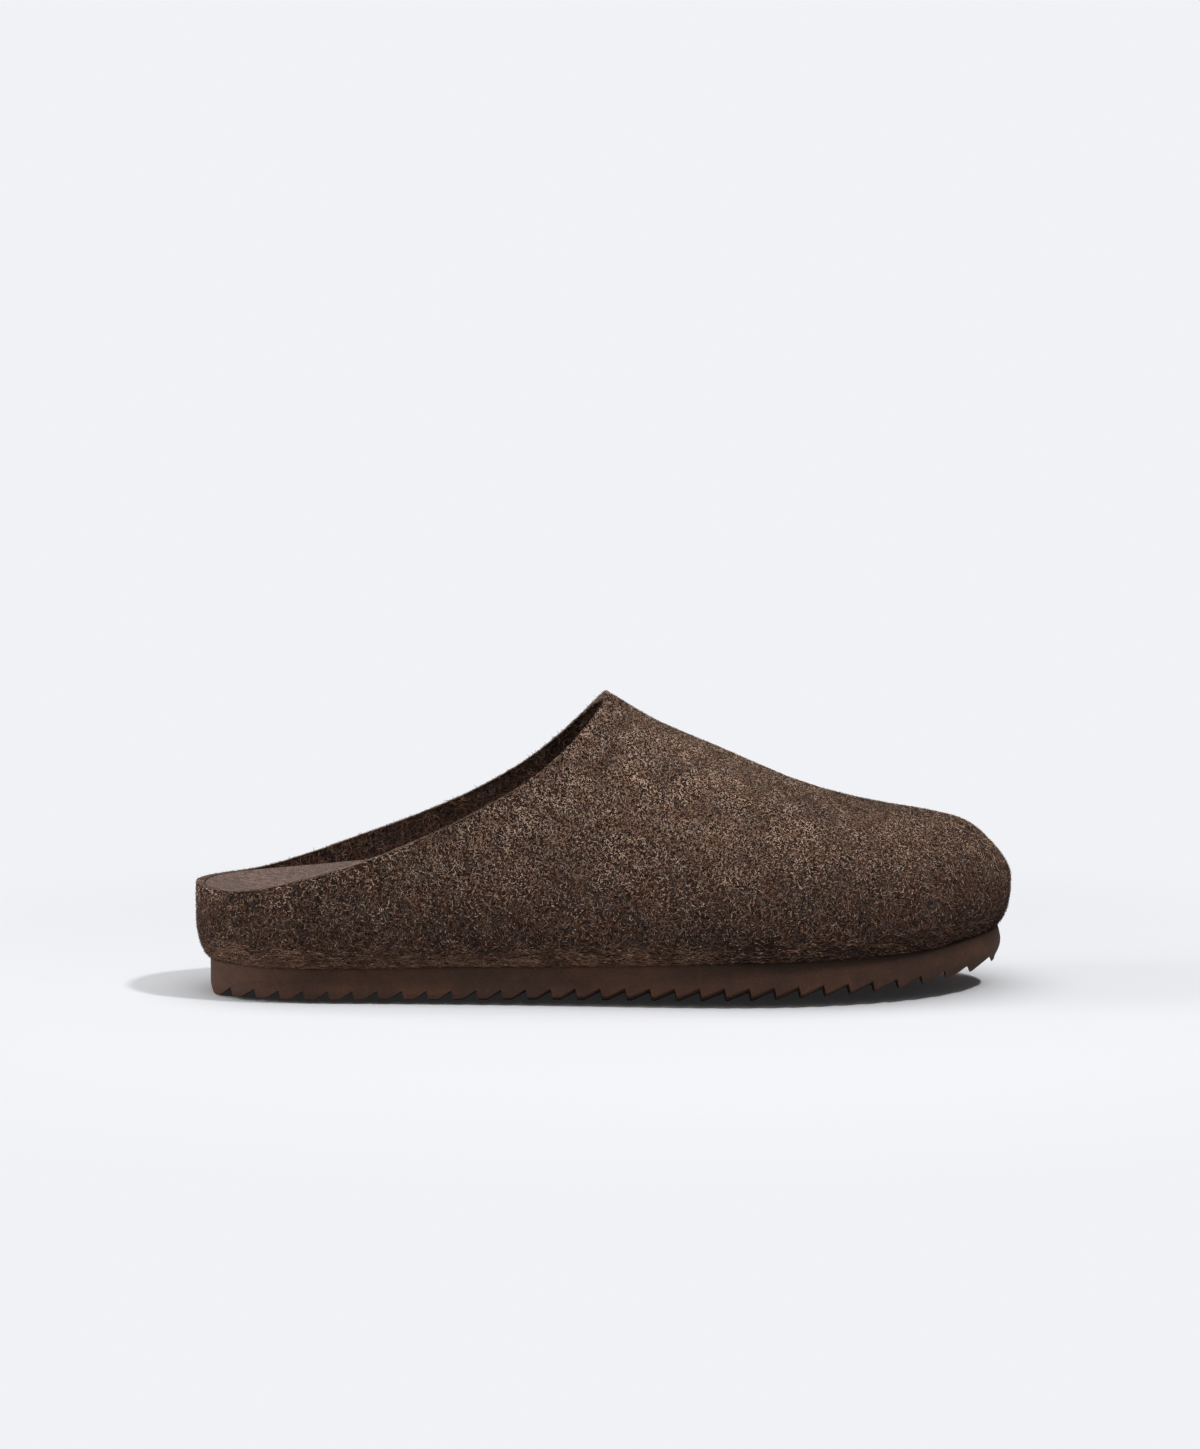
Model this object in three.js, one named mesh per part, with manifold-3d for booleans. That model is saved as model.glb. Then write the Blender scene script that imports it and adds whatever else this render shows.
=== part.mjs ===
// A clog slipper for the right foot: a thick felt upper, moulded in one piece and turned under a contoured
// insole, on a rubber outsole with a saw-tooth tread. Backless, with a collar that falls from the instep to
// the heel. Millimetres. +X points to the toe, +Y to the inner (big toe) side and +Z up.
// The origin is on the floor, at the centre of the shoe's box.
import * as THREE from "three";
import { mergeVertices } from "three/addons/utils/BufferGeometryUtils.js";
import Module from "manifold-3d";

const wasm = await Module();
wasm.setup();

// Whole shoe
const shoeLength = 286; // back of the heel to the tip of the toe, over the felt
const ballWidth = 104; // across the ball of the foot, over the felt
const instepHeight = 105.2; // floor to the front point of the collar
const heelHeight = 39; // floor to the collar at the back of the heel

// Felt upper
const feltWall = 3;
const collarFront = 143; // back of the heel to the front point of the collar
const bellyRise = 15; // widest line of the felt above its underside
const tuck = 5.6; // how far the felt curves in below its widest line
const lastingMargin = 9; // felt turned flat under the insole, past the tuck
const heelPole = 34; // back of the heel to the centre of its round end
const toePole = 250; // back of the heel to the centre of the toe box's round end

// Outsole
const soleMargin = 4.8; // how far the outsole's side stands in from the felt
const heelSole = 12.4; // thickness under the heel, tread included
const ballSole = 15.7; // thickness under the ball of the foot
const toeSole = 12; // thickness at the toe
const toeSpring = 9.6; // rise of the tread at the toe
const edgeLift = 4.6; // how far the tread curves up at the edges of the ball
const toeBumper = 1.3; // swell of the outsole's side round the toe
const soleRound = 1.3; // rounding of the lower edge
const soleBevel = 0.5; // bevel of the upper edge
const treadPitch = 8.55;
const treadDepth = 2.8;
const treadSlant = 0.7; // lean of a tooth's steep face
const heelLand = 3.2; // flat foot of a tooth under the heel
const toeLand = 0.9; // flat foot of a tooth under the toes

// Insole
const heelSeat = 33.5; // floor to the bottom of the heel cup

// Fit: the gap between pieces that are glued or pressed together
const bond = 0.3;

// Steps of the surfaces
const collarSteps = 25; // columns of felt on each side, from the heel to the collar's front point
const vampSteps = 19; // columns on each side, from there to the toe
const tuckRows = 4;
const wallRows = 11;
const soleSteps = 32; // columns on each side of the outsole and the insole
const insoleRows = 5;

// Sections of the last, from heel to toe. at is a share of the shoe's length; inner and outer are the two
// sides of the widest line and ridge is the top line, as shares of the ball width from the middle;
// crown is the height of the top line as a share of the instep; full is how square the arch is.
// Behind the collar's front point the crown only guides the lean of the walls.
const sections = [
  { at: 0.0, inner: 0.0, outer: 0.0, ridge: 0.0, crown: 1.06, full: 3.4 },
  { at: 0.04, inner: 0.248, outer: 0.248, ridge: 0.0, crown: 1.07, full: 3.4 },
  { at: 0.12, inner: 0.345, outer: 0.342, ridge: 0.0, crown: 1.09, full: 3.3 },
  { at: 0.24, inner: 0.362, outer: 0.363, ridge: 0.0, crown: 1.14, full: 2.7 },
  { at: 0.38, inner: 0.355, outer: 0.39, ridge: 0.005, crown: 1.15, full: 2.25 },
  { at: 0.5, inner: 0.39, outer: 0.423, ridge: 0.02, crown: 1.0, full: 2.0 },
  { at: 0.56, inner: 0.43, outer: 0.442, ridge: 0.03, crown: 0.903, full: 2.0 },
  { at: 0.64, inner: 0.492, outer: 0.459, ridge: 0.05, crown: 0.805, full: 2.1 },
  { at: 0.72, inner: 0.535, outer: 0.451, ridge: 0.07, crown: 0.707, full: 2.2 },
  { at: 0.8, inner: 0.538, outer: 0.403, ridge: 0.095, crown: 0.634, full: 2.3 },
  { at: 0.9, inner: 0.468, outer: 0.27, ridge: 0.125, crown: 0.584, full: 2.35 },
  { at: 0.96, inner: 0.37, outer: 0.118, ridge: 0.14, crown: 0.574, full: 2.35 },
  { at: 1.0, inner: 0.148, outer: -0.148, ridge: 0.148, crown: 0.52, full: 2.1 },
];

// The collar seen from the side: at is a share of the way to its front point, rise a share of the height
// from the heel's collar to that point.
const collarLine = [
  { at: 0.0, rise: 0.0 },
  { at: 0.14, rise: 0.005 },
  { at: 0.26, rise: 0.068 },
  { at: 0.4, rise: 0.174 },
  { at: 0.54, rise: 0.288 },
  { at: 0.68, rise: 0.427 },
  { at: 0.82, rise: 0.615 },
  { at: 0.92, rise: 0.806 },
  { at: 1.0, rise: 1.0 },
];

// The outsole seen from the side: spring is the tread's rise as a share of the toe spring, and lift the
// share of the lift at the tread's edges; heel and ball are how much of the thickness comes from those two
// sizes, and the rest comes from the toe's.
const soleLine = [
  { at: 0.0, spring: 0.0, lift: 0.42, heel: 1.0, ball: 0.0 },
  { at: 0.2, spring: 0.0, lift: 0.4, heel: 1.0, ball: 0.0 },
  { at: 0.34, spring: 0.0, lift: 0.56, heel: 0.7, ball: 0.3 },
  { at: 0.43, spring: 0.0, lift: 0.76, heel: 0.57, ball: 0.43 },
  { at: 0.5, spring: 0.0, lift: 0.89, heel: 0.45, ball: 0.55 },
  { at: 0.58, spring: 0.0, lift: 0.96, heel: 0.2, ball: 0.8 },
  { at: 0.66, spring: 0.0, lift: 1.0, heel: 0.0, ball: 1.0 },
  { at: 0.77, spring: 0.155, lift: 0.86, heel: 0.0, ball: 0.8 },
  { at: 0.83, spring: 0.29, lift: 0.66, heel: 0.0, ball: 0.55 },
  { at: 0.89, spring: 0.5, lift: 0.4, heel: 0.0, ball: 0.3 },
  { at: 0.95, spring: 0.82, lift: 0.1, heel: 0.0, ball: 0.1 },
  { at: 1.0, spring: 1.08, lift: 0.0, heel: 0.0, ball: 0.0 },
];

// The insole's top, as shares of the heel seat's height: seat along the middle, inner and outer where it
// meets the walls.
const insoleLine = [
  { at: 0.0, seat: 1.0, inner: 1.15, outer: 1.15 },
  { at: 0.12, seat: 1.0, inner: 1.18, outer: 1.165 },
  { at: 0.24, seat: 0.99, inner: 1.26, outer: 1.15 },
  { at: 0.38, seat: 0.94, inner: 1.27, outer: 1.08 },
  { at: 0.5, seat: 0.84, inner: 1.08, outer: 0.95 },
  { at: 0.6, seat: 0.75, inner: 0.91, outer: 0.85 },
  { at: 0.7, seat: 0.72, inner: 0.83, outer: 0.81 },
  { at: 0.8, seat: 0.73, inner: 0.83, outer: 0.82 },
  { at: 0.9, seat: 0.78, inner: 0.89, outer: 0.88 },
  { at: 1.0, seat: 0.83, inner: 0.96, outer: 0.96 },
];

// Places along the shoe run by an angle, so that the steps close up where the heel and toe turn round.
const turnOf = (share) => Math.acos(1 - 2 * THREE.MathUtils.clamp(share, 0, 1)) / Math.PI;
const shareOf = (turn) => (1 - Math.cos(Math.PI * turn)) / 2;

// A smooth curve through one column of a table, at any place between its rows.
function curve(table, column, place = (row) => row.at) {
  const x = table.map(place);
  const y = table.map((row) => row[column]);
  const rise = x.slice(1).map((end, i) => (y[i + 1] - y[i]) / (end - x[i]));
  const last = x.length - 1;
  const slopeAt = (i) => {
    const weight = (x[i] - x[i - 1]) / (x[i + 1] - x[i - 1]);
    return rise[i - 1] * (1 - weight) + rise[i] * weight;
  };
  const slope = y.map((_, i) => {
    if (i === 0) return 2 * rise[0] - slopeAt(1);
    return i === last ? 2 * rise[last - 1] - slopeAt(last - 1) : slopeAt(i);
  });
  return (at) => {
    let i = 0;
    while (i < last - 1 && at > x[i + 1]) i += 1;
    const step = x[i + 1] - x[i];
    const t = THREE.MathUtils.clamp((at - x[i]) / step, 0, 1);
    const fromStart = y[i] * (1 + 2 * t) + slope[i] * step * t;
    const fromEnd = y[i + 1] * (3 - 2 * t) - slope[i + 1] * step * (1 - t);
    return fromStart * (1 - t) * (1 - t) + fromEnd * t * t;
  };
}

const byTurn = (row) => turnOf(row.at);
const widest = { inner: curve(sections, "inner", byTurn), outer: curve(sections, "outer", byTurn) };
const ridge = curve(sections, "ridge");
const crown = curve(sections, "crown");
const full = curve(sections, "full");
const collarRise = curve(collarLine, "rise");
const spring = curve(soleLine, "spring");
const lift = curve(soleLine, "lift");
const heelPart = curve(soleLine, "heel");
const ballPart = curve(soleLine, "ball");
const seat = curve(insoleLine, "seat");
const rimHeight = { inner: curve(insoleLine, "inner"), outer: curve(insoleLine, "outer") };

const along = (x) => x / shoeLength;
const collarHeight = (x) => heelHeight + (instepHeight - heelHeight) * collarRise(x / collarFront);
const treadHeight = (x) => toeSpring * Math.max(spring(along(x)), 0);

// Extra height of the tread to the sides of its flat middle; across is a share of the way to the edge.
function treadLift(x, across) {
  const flat = 0.5;
  const side = Math.max(Math.abs(across) - flat, 0) / (1 - flat);
  return edgeLift * Math.max(lift(along(x)), 0) * side * side;
}

function soleTop(x) {
  const heel = heelPart(along(x));
  const ball = ballPart(along(x));
  return treadHeight(x) + heelSole * heel + ballSole * ball + toeSole * (1 - heel - ball);
}

// The top line of the last, or of a skin at a depth inside it, square to its slope.
function crownHeight(x, depth) {
  const step = 1;
  const height = instepHeight * crown(along(x));
  const slope = (instepHeight * crown(along(x + step)) - height) / step;
  return height - depth * Math.hypot(1, slope);
}

const sideSign = { inner: 1, outer: -1 };

// A point of the widest line, moved in square to that line.
function widestPoint(side, turn, inset) {
  const at = (t) =>
    new THREE.Vector2(shoeLength * shareOf(t), sideSign[side] * ballWidth * widest[side](t));
  const step = 1e-3;
  const run = at(Math.min(turn + step, 1)).sub(at(Math.max(turn - step, 0)));
  if (turn < step || turn > 1 - step) run.x = 0; // both sides meet square to the shoe's line
  const inward = new THREE.Vector2(run.y, -run.x).normalize().multiplyScalar(sideSign[side]);
  return at(turn).addScaledVector(inward, inset);
}

// The point of the top line that the sections at a turn lean to; the ends of the shoe fan out from one.
function polePoint(turn) {
  const x = THREE.MathUtils.clamp(shoeLength * shareOf(turn), heelPole, toePole);
  return new THREE.Vector2(x, ballWidth * ridge(along(x)));
}

// The felt, at a depth inside its outer face. level runs from -2 at the edge under the insole, to -1 where
// the tuck starts, 0 at the widest line and 1 at the top line.
function feltPoint(side, turn, level, depth) {
  if (level <= 0) {
    const angle = (Math.max(level, -1) * -Math.PI) / 2;
    const flat = Math.max(-1 - level, 0) * lastingMargin;
    const inset = depth + (tuck - depth) * (1 - Math.cos(angle)) + flat;
    const place = widestPoint(side, turn, inset);
    const base = soleTop(place.x) + bond + depth;
    const height = base + (bellyRise - depth) * (1 - Math.sin(angle));
    return new THREE.Vector3(place.x, place.y, height);
  }
  const foot = widestPoint(side, turn, depth);
  const angle = (level * Math.PI) / 2;
  const power = 2 / full(shareOf(turn));
  const place = polePoint(turn).lerp(foot, Math.max(Math.cos(angle), 0) ** power);
  const belly = soleTop(foot.x) + bond + bellyRise;
  const rise = crownHeight(place.x, depth) - belly;
  return new THREE.Vector3(place.x, place.y, belly + rise * Math.sin(angle) ** power);
}

// Where a rising function crosses zero between two places.
function crossing(low, high, value) {
  let [from, to] = [low, high];
  for (let i = 0; i < 40; i += 1) {
    const middle = (from + to) / 2;
    if (value(middle) < 0) from = middle;
    else to = middle;
  }
  return (from + to) / 2;
}

// One column of the felt, from its edge under the insole up to the collar or the top line.
function feltColumn(side, column, depth) {
  const front = crossing(heelPole, shoeLength, (x) => collarHeight(x) - crownHeight(x, depth));
  const split = turnOf(along(collarFront) + 0.03);
  let footTurn;
  let topTurn;
  let topLevel = 1;
  if (column < collarSteps) {
    const t = column / collarSteps;
    footTurn = split * t;
    topTurn = turnOf(along(front * (1 - (1 - t * t) ** 2)));
    topLevel = crossing(0, 1, (level) => {
      const point = feltPoint(side, topTurn, level, depth);
      return point.z - collarHeight(point.x);
    });
  } else {
    const t = (column - collarSteps) / vampSteps;
    footTurn = split + (1 - split) * t;
    topTurn = THREE.MathUtils.lerp(turnOf(along(front)), 1, t);
  }
  const rows = [feltPoint(side, footTurn, -2, depth)];
  for (let i = 0; i < tuckRows; i += 1) rows.push(feltPoint(side, footTurn, i / tuckRows - 1, depth));
  for (let i = 0; i <= wallRows; i += 1) {
    const t = i / wallRows;
    rows.push(feltPoint(side, footTurn + (topTurn - footTurn) * t, topLevel * t, depth));
  }
  return rows;
}

// Columns all the way round: up the outer side to the toe and back along the inner side.
function ringOfColumns(steps, makeColumn) {
  const outer = Array.from({ length: steps + 1 }, (_, i) => makeColumn("outer", i));
  const inner = Array.from({ length: steps - 1 }, (_, i) => makeColumn("inner", steps - 1 - i));
  return [...outer, ...inner];
}

// Triangles of a closed ring of columns; they face out when the columns run round against the clock.
function skin(columns) {
  const corners = [];
  columns.forEach((column, i) => {
    const next = columns[(i + 1) % columns.length];
    for (let j = 0; j < column.length - 1; j += 1) {
      const [a, b, c, d] = [column[j], next[j], next[j + 1], column[j + 1]];
      corners.push(a, b, c, a, c, d);
    }
  });
  return corners;
}

// A solid from triangle corners. Corners that fall together are merged, and triangles that this closes go.
function solidFrom(corners) {
  const loose = new THREE.BufferGeometry().setFromPoints(corners);
  const merged = mergeVertices(loose, 1e-3);
  const index = merged.index.array;
  const faces = [];
  for (let i = 0; i < index.length; i += 3) {
    const [a, b, c] = index.slice(i, i + 3);
    if (a !== b && b !== c && c !== a) faces.push(a, b, c);
  }
  const mesh = new wasm.Mesh({
    numProp: 3,
    vertProperties: merged.attributes.position.array,
    triVerts: new Uint32Array(faces),
  });
  return new wasm.Manifold(mesh);
}

// The felt: an outer and an inner skin, joined at the cut collar and at the edge under the insole.
function makeUpper() {
  const steps = collarSteps + vampSteps;
  const outside = ringOfColumns(steps, (side, i) => feltColumn(side, i, 0));
  const inside = ringOfColumns(steps, (side, i) => feltColumn(side, i, feltWall));
  const around = outside.map((_, i) => i);
  const behindFront = (i) => Math.min(i, 2 * steps - i) <= collarSteps;
  const collar = around
    .filter((i) => behindFront(i) && behindFront((i + 1) % around.length))
    .flatMap((i) => {
      const j = (i + 1) % around.length;
      const [a, b, c, d] = [outside[i].at(-1), outside[j].at(-1), inside[j].at(-1), inside[i].at(-1)];
      return [a, b, c, a, c, d];
    });
  const underEdge = around.flatMap((i) => {
    const j = (i + 1) % around.length;
    const [a, b, c, d] = [outside[i][0], inside[i][0], inside[j][0], outside[j][0]];
    return [a, b, c, a, c, d];
  });
  const insideFaces = skin(inside).reverse();
  return solidFrom([...skin(outside), ...insideFaces, ...collar, ...underEdge]);
}

// One column of the insole: across its underside, round the turned-under felt, up the wall to the rim and
// back across the cupped top.
function insoleColumn(side, step) {
  const turn = step / soleSteps;
  const depth = feltWall + bond;
  const middle = polePoint(turn);
  const boss = widestPoint(side, turn, tuck + lastingMargin + bond);
  const under = (place, rise) => new THREE.Vector3(place.x, place.y, soleTop(place.x) + bond + rise);
  const rimLevel = crossing(-1, 1, (level) => {
    const point = feltPoint(side, turn, level, depth);
    return point.z - heelSeat * rimHeight[side](along(point.x));
  });
  const wall = Array.from({ length: insoleRows + 1 }, (_, i) =>
    feltPoint(side, turn, (rimLevel + 1) * (i / insoleRows) - 1, depth),
  );
  const rim = wall.at(-1);
  const seatPoint = new THREE.Vector3(middle.x, middle.y, heelSeat * seat(along(middle.x)));
  const cup = Array.from({ length: insoleRows }, (_, i) => {
    const t = 1 - (i + 1) / insoleRows;
    const point = seatPoint.clone().lerp(rim, t);
    point.z = THREE.MathUtils.lerp(seatPoint.z, rim.z, t ** 2.2);
    return point;
  });
  return [under(middle, 0), under(boss, 0), under(boss, depth), ...wall, ...cup];
}

const makeInsole = () => solidFrom(skin(ringOfColumns(soleSteps, insoleColumn)));

// One column of the outsole before its tread is cut: out along the bottom, up the side and in along the top.
function soleColumn(side, step) {
  const turn = step / soleSteps;
  const spare = 1; // rubber below the tread, which the cut takes away
  const bumper = toeBumper * THREE.MathUtils.smoothstep(shareOf(turn), 0.8, 1);
  const profile = [
    { up: 0, inset: soleRound },
    { up: 0.14, inset: soleRound / 2 },
    { up: 0.3, inset: -bumper * 0.4 },
    { up: 0.55, inset: -bumper },
    { up: 0.92, inset: -bumper * 0.3 },
    { up: 1, inset: soleBevel },
    { up: 1, inset: tuck + lastingMargin - soleMargin },
  ];
  const pointAt = (place, up) => {
    const bottom = treadHeight(place.x) - spare;
    return new THREE.Vector3(place.x, place.y, THREE.MathUtils.lerp(bottom, soleTop(place.x), up));
  };
  const rows = profile.map((row) => pointAt(widestPoint(side, turn, soleMargin + row.inset), row.up));
  const middle = polePoint(turn);
  return [pointAt(middle, 0), ...rows, pointAt(middle, 1)];
}

// The line of the tread along the shoe: each tooth has a flat foot, a ramp and a steep face. rise is the
// height above the tread's line.
function treadLine() {
  const first = soleMargin + 0.1 * heelLand;
  const teeth = Math.floor((shoeLength - soleMargin - first) / treadPitch);
  const line = [{ x: -treadPitch, rise: 0 }];
  for (let i = 0; i < teeth; i += 1) {
    const foot = first + i * treadPitch;
    const forward = THREE.MathUtils.smoothstep(along(foot), 0.35, 0.65);
    const land = THREE.MathUtils.lerp(heelLand, toeLand, forward);
    line.push({ x: foot, rise: 0 }, { x: foot + land, rise: 0 });
    line.push({ x: foot + treadPitch - treadSlant, rise: treadDepth });
  }
  line.push({ x: first + teeth * treadPitch, rise: 0 }, { x: shoeLength + treadPitch, rise: 0 });
  return line;
}

// What the mould leaves out below the tread: a block whose top follows the teeth, in strips along the shoe.
function treadCutter() {
  const line = treadLine();
  const below = -2 * treadDepth;
  const strips = [-1.2, -0.95, -0.75, -0.5, 0.5, 0.75, 0.95, 1.2].map((across) => {
    const side = across > 0 ? "inner" : "outer";
    const pointAt = (x, z) => {
      const edge = ballWidth * widest[side](turnOf(along(x))) - soleMargin;
      return new THREE.Vector3(x, across * Math.max(edge, ballWidth / 5), z);
    };
    const heightAt = (tip) => treadHeight(tip.x) + treadLift(tip.x, across) + tip.rise;
    const top = line.map((tip) => pointAt(tip.x, heightAt(tip)));
    const bottom = line.map((tip) => pointAt(tip.x, below)).reverse();
    return [...top, ...bottom];
  });
  const cap = (strip, turned) =>
    line.slice(1).flatMap((_, i) => {
      const [a, b, c, d] = [strip[i], strip[i + 1], strip.at(-2 - i), strip.at(-1 - i)];
      return turned ? [a, b, c, a, c, d] : [a, c, b, a, d, c];
    });
  const corners = [...cap(strips[0], false), ...cap(strips.at(-1), true)];
  strips.slice(1).forEach((strip, j) => {
    const before = strips[j];
    strip.forEach((_, i) => {
      const k = (i + 1) % strip.length;
      corners.push(before[i], before[k], strip[k], before[i], strip[k], strip[i]);
    });
  });
  return solidFrom(corners);
}

const makeOutsole = () => solidFrom(skin(ringOfColumns(soleSteps, soleColumn))).subtract(treadCutter());

function meshOf(name, solid, material) {
  const data = solid.getMesh();
  const geometry = new THREE.BufferGeometry();
  geometry.setAttribute("position", new THREE.BufferAttribute(data.vertProperties, 3));
  geometry.setIndex(new THREE.BufferAttribute(data.triVerts, 1));
  geometry.computeVertexNormals();
  const mesh = new THREE.Mesh(geometry, material);
  mesh.name = name;
  return mesh;
}

const felt = new THREE.MeshStandardMaterial({ color: 0x5b4a40, roughness: 0.95, metalness: 0 });
const suede = new THREE.MeshStandardMaterial({ color: 0x7d6a62, roughness: 0.9, metalness: 0 });
const rubber = new THREE.MeshStandardMaterial({ color: 0x3d2d26, roughness: 0.6, metalness: 0 });

const slipper = new THREE.Group();
slipper.add(meshOf("upper", makeUpper(), felt));
slipper.add(meshOf("insole", makeInsole(), suede));
slipper.add(meshOf("outsole", makeOutsole(), rubber));

const box = new THREE.Box3().setFromObject(slipper);
const centre = box.getCenter(new THREE.Vector3());
slipper.position.set(-centre.x, -centre.y, 0);

export default slipper;
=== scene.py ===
import math
from bisect import bisect_right

import bmesh
import bpy
import numpy as np
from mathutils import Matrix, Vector, noise


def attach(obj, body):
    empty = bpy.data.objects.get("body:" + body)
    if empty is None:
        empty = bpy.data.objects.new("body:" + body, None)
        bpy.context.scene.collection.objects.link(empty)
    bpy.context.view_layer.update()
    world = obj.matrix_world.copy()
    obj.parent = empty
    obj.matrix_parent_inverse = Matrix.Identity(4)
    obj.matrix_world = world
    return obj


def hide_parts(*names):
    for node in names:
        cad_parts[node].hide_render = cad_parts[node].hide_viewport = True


# A felt clog slipper for the right foot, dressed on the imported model.
# The shapes below repeat the model's sections in millimetres; meshes are written in metres.
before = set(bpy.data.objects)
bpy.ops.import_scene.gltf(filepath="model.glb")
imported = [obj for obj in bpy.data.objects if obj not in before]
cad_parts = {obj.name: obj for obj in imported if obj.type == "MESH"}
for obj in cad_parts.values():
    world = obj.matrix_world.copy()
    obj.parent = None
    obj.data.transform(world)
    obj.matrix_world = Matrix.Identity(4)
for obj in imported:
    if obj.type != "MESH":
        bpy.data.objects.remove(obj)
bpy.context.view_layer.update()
print("frame loaded:", ", ".join(sorted(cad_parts)))

mm = 0.001

# The last: sizes and sections

shoe = {
    "length": 286,
    "ballWidth": 104,
    "instepHeight": 105.2,
    "heelHeight": 39,
    "bond": 0.08,  # gap that is left between pieces
    "heelPole": 34,  # centres of the round ends, from the back of the heel
    "toePole": 250,
}

lastTable = {  # from heel to toe: inner, outer and ridge in ball widths, crown in instep heights
    "at": [0, 0.04, 0.12, 0.24, 0.38, 0.5, 0.56, 0.64, 0.72, 0.8, 0.9, 0.96, 1],
    "inner": [0, 0.248, 0.345, 0.362, 0.355, 0.39, 0.43, 0.492, 0.535, 0.538, 0.468, 0.37, 0.148],
    "outer": [0, 0.248, 0.342, 0.363, 0.39, 0.423, 0.442, 0.459, 0.451, 0.403, 0.27, 0.118, -0.148],
    "ridge": [0, 0, 0, 0, 0.005, 0.02, 0.03, 0.05, 0.07, 0.095, 0.125, 0.14, 0.148],
    "crown": [1.06, 1.07, 1.09, 1.14, 1.15, 1, 0.903, 0.805, 0.707, 0.634, 0.584, 0.574, 0.52],
    "full": [3.4, 3.4, 3.3, 2.7, 2.25, 2, 2, 2.1, 2.2, 2.3, 2.35, 2.35, 2.1],
}

collarTable = {  # from the heel to the front point; the outer side dips by millimetres
    "at": [0, 0.14, 0.26, 0.4, 0.54, 0.68, 0.82, 0.92, 1],
    "rise": [0, 0.005, 0.068, 0.174, 0.288, 0.427, 0.615, 0.806, 1],
    "outerDip": [0, 0, 0.1, 1.3, 0.9, 0.2, 0.4, 1.1, 1.6],
}

soleTable = {  # the outsole seen from the side
    "at": [0, 0.2, 0.34, 0.43, 0.5, 0.58, 0.66, 0.77, 0.83, 0.89, 0.95, 1],
    "spring": [0, 0, 0, 0, 0, 0, 0, 0.155, 0.29, 0.5, 0.82, 1.08],
    "lift": [0.42, 0.4, 0.56, 0.76, 0.89, 0.96, 1, 0.86, 0.66, 0.4, 0.1, 0],
    "heel": [1, 1, 0.7, 0.57, 0.45, 0.2, 0, 0, 0, 0, 0, 0],
    "ball": [0, 0, 0.3, 0.43, 0.55, 0.8, 1, 0.8, 0.55, 0.3, 0.1, 0],
}


def turnOf(share):  # places along the shoe run by an angle that closes up at heel and toe
    return math.acos(1 - 2 * min(max(share, 0), 1)) / math.pi


def shareOf(turn):
    return (1 - math.cos(math.pi * turn)) / 2


def curve(table, column, place=float):  # a smooth curve through one column of a table
    x = [place(at) for at in table["at"]]
    y = table[column]
    last = len(x) - 1
    rise = [(y[i + 1] - y[i]) / (x[i + 1] - x[i]) for i in range(last)]
    slope = [0.0] * len(x)
    for i in range(1, last):
        weight = (x[i] - x[i - 1]) / (x[i + 1] - x[i - 1])
        slope[i] = rise[i - 1] * (1 - weight) + rise[i] * weight
    slope[0] = 2 * rise[0] - slope[1]
    slope[last] = 2 * rise[-1] - slope[last - 1]

    def value(at):
        i = min(max(bisect_right(x, at) - 1, 0), last - 1)
        step = x[i + 1] - x[i]
        t = min(max((at - x[i]) / step, 0), 1)
        fromStart = y[i] * (1 + 2 * t) + slope[i] * step * t
        fromEnd = y[i + 1] * (3 - 2 * t) - slope[i + 1] * step * (1 - t)
        return fromStart * (1 - t) ** 2 + fromEnd * t * t

    return value


def lerp(a, b, t):
    return a + (b - a) * t


def smoothstep(value, start, end):
    t = min(max((value - start) / (end - start), 0), 1)
    return t * t * (3 - 2 * t)


def crossing(low, high, value):  # where a rising function crosses zero
    for _ in range(30):
        middle = (low + high) / 2
        if value(middle) < 0:
            low = middle
        else:
            high = middle
    return (low + high) / 2


sideSign = {"inner": 1, "outer": -1}
widest = {side: curve(lastTable, side, turnOf) for side in sideSign}
ridge, crown, full = (curve(lastTable, name) for name in ("ridge", "crown", "full"))
collarRise, outerDip = curve(collarTable, "rise"), curve(collarTable, "outerDip")
spring, lift = curve(soleTable, "spring"), curve(soleTable, "lift")
heelPart, ballPart = curve(soleTable, "heel"), curve(soleTable, "ball")


def along(x):
    return x / shoe["length"]


# The felt upper

upper = {
    "wall": 3,
    "collarFront": 143,  # from the back of the heel to the collar's front point
    "bellyRise": 15,  # widest line above the underside
    "tuck": 5.6,  # how far the felt curves in below that line
    "lasting": 9,  # felt turned flat under the insole
    "collarSteps": 96,
    "vampSteps": 76,
    "tuckRows": 10,
    "wallRows": 44,
    "edgeRows": 5,  # across the cut collar
    "edgeRound": 0.45,  # how far the corners of the cut are worn down
    "edgeLean": 1.9,  # how much lower the cut is on the inside
    "swell": 0.32,  # soft unevenness of the moulded felt
    "swellSize": 21,
}

# The outsole's sizes stand here because the felt and the insole rest on it
outsole = {
    "margin": 4.8,  # how far the side stands in from the felt
    "heel": 12.4,  # thickness there, with the teeth
    "ball": 15.7,
    "toe": 12,
    "toeSpring": 9.6,
    "edgeLift": 4.6,  # how far the tread's edges rise at the waist and the ball
    "liftFrom": 0.5,  # where that rise starts, as a share of the half width
    "toeBumper": 1.3,  # how far the toe swells out
    "pitch": 8.55,  # from tooth to tooth
    "toothDepth": 2.8,
    "slant": 0.7,  # lean of a tooth's steep face
    "heelLand": 3.2,  # flat foot of a tooth
    "toeLand": 0.9,
    "steps": 110,  # columns on each side
    "cornerRound": 0.22,  # radius of the teeth's corners
    "shadeDrop": 3.2,  # how far the felt's shade reaches down the side
}

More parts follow.
